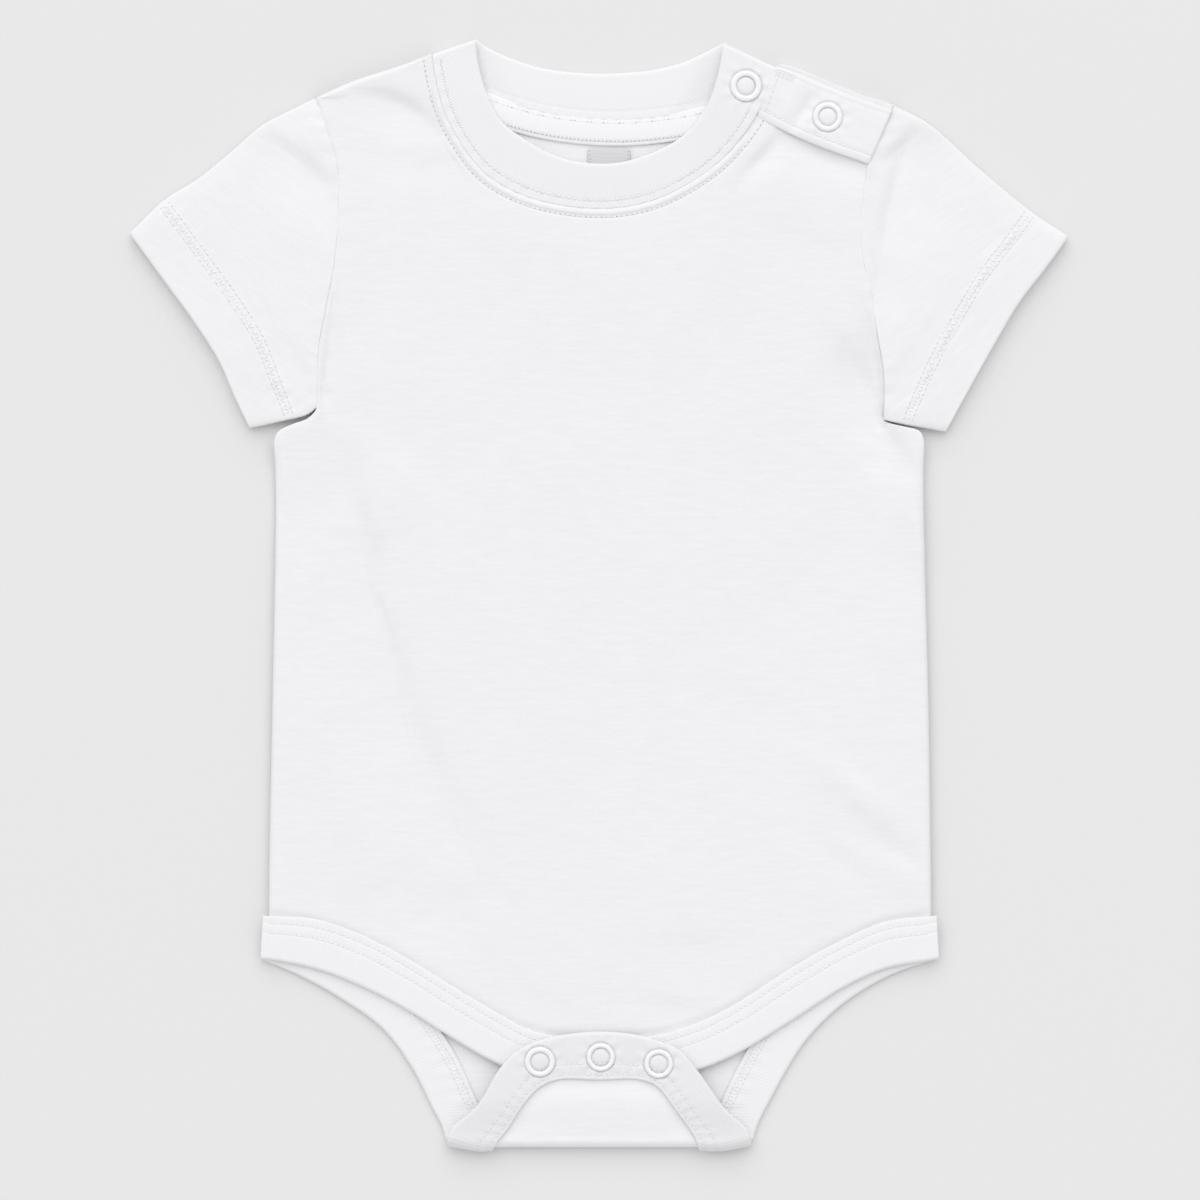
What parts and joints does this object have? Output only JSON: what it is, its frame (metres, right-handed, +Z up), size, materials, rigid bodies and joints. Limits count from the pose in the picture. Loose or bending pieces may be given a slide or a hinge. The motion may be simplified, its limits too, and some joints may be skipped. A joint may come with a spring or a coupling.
{
  "type": "baby onesie",
  "caption": "Plain short-sleeved baby bodysuit laid flat, with ribbed neckband and leg bindings, snapped shoulder opening and snapped crotch flap.",
  "frame": {"origin": "on the table, under the middle of the whole laid-out outline", "axes": "+X to the picture's right (the wearer's left), +Y from the crotch towards the neck, +Z up out of the table, front of the garment up"},
  "size_m": [0.3284, 0.3886, 0.0103],
  "materials": {
    "jersey": "white cotton jersey, matte, faint slubs along the courses",
    "rib": "white fine cotton rib, matte, ribs across the strip",
    "label": "blank woven tape, pale grey in the shade",
    "snap": "white enamelled ring snap, softly glossy"
  },
  "bodies": {
    "root": {"front_body": "jersey", "back_body": "jersey", "sleeve_right": "jersey", "sleeve_left": "jersey", "shoulder_placket": "jersey", "shoulder_extension": "jersey", "neckband_back": "rib", "neckband_front": "rib", "neck_tape": "rib", "binding_front": "rib", "binding_back_right": "rib", "binding_back_left": "rib", "binding_flap": "rib", "neck_label": "label", "snap_ring_neckband": "snap", "snap_ring_shoulder": "snap", "snap_ring_crotch_right": "snap", "snap_ring_crotch_middle": "snap", "snap_ring_crotch_left": "snap", "snap_stud_neckband": "snap", "snap_stud_shoulder": "snap", "snap_stud_crotch_right": "snap", "snap_stud_crotch_middle": "snap", "snap_stud_crotch_left": "snap"}
  },
  "joints": []
}
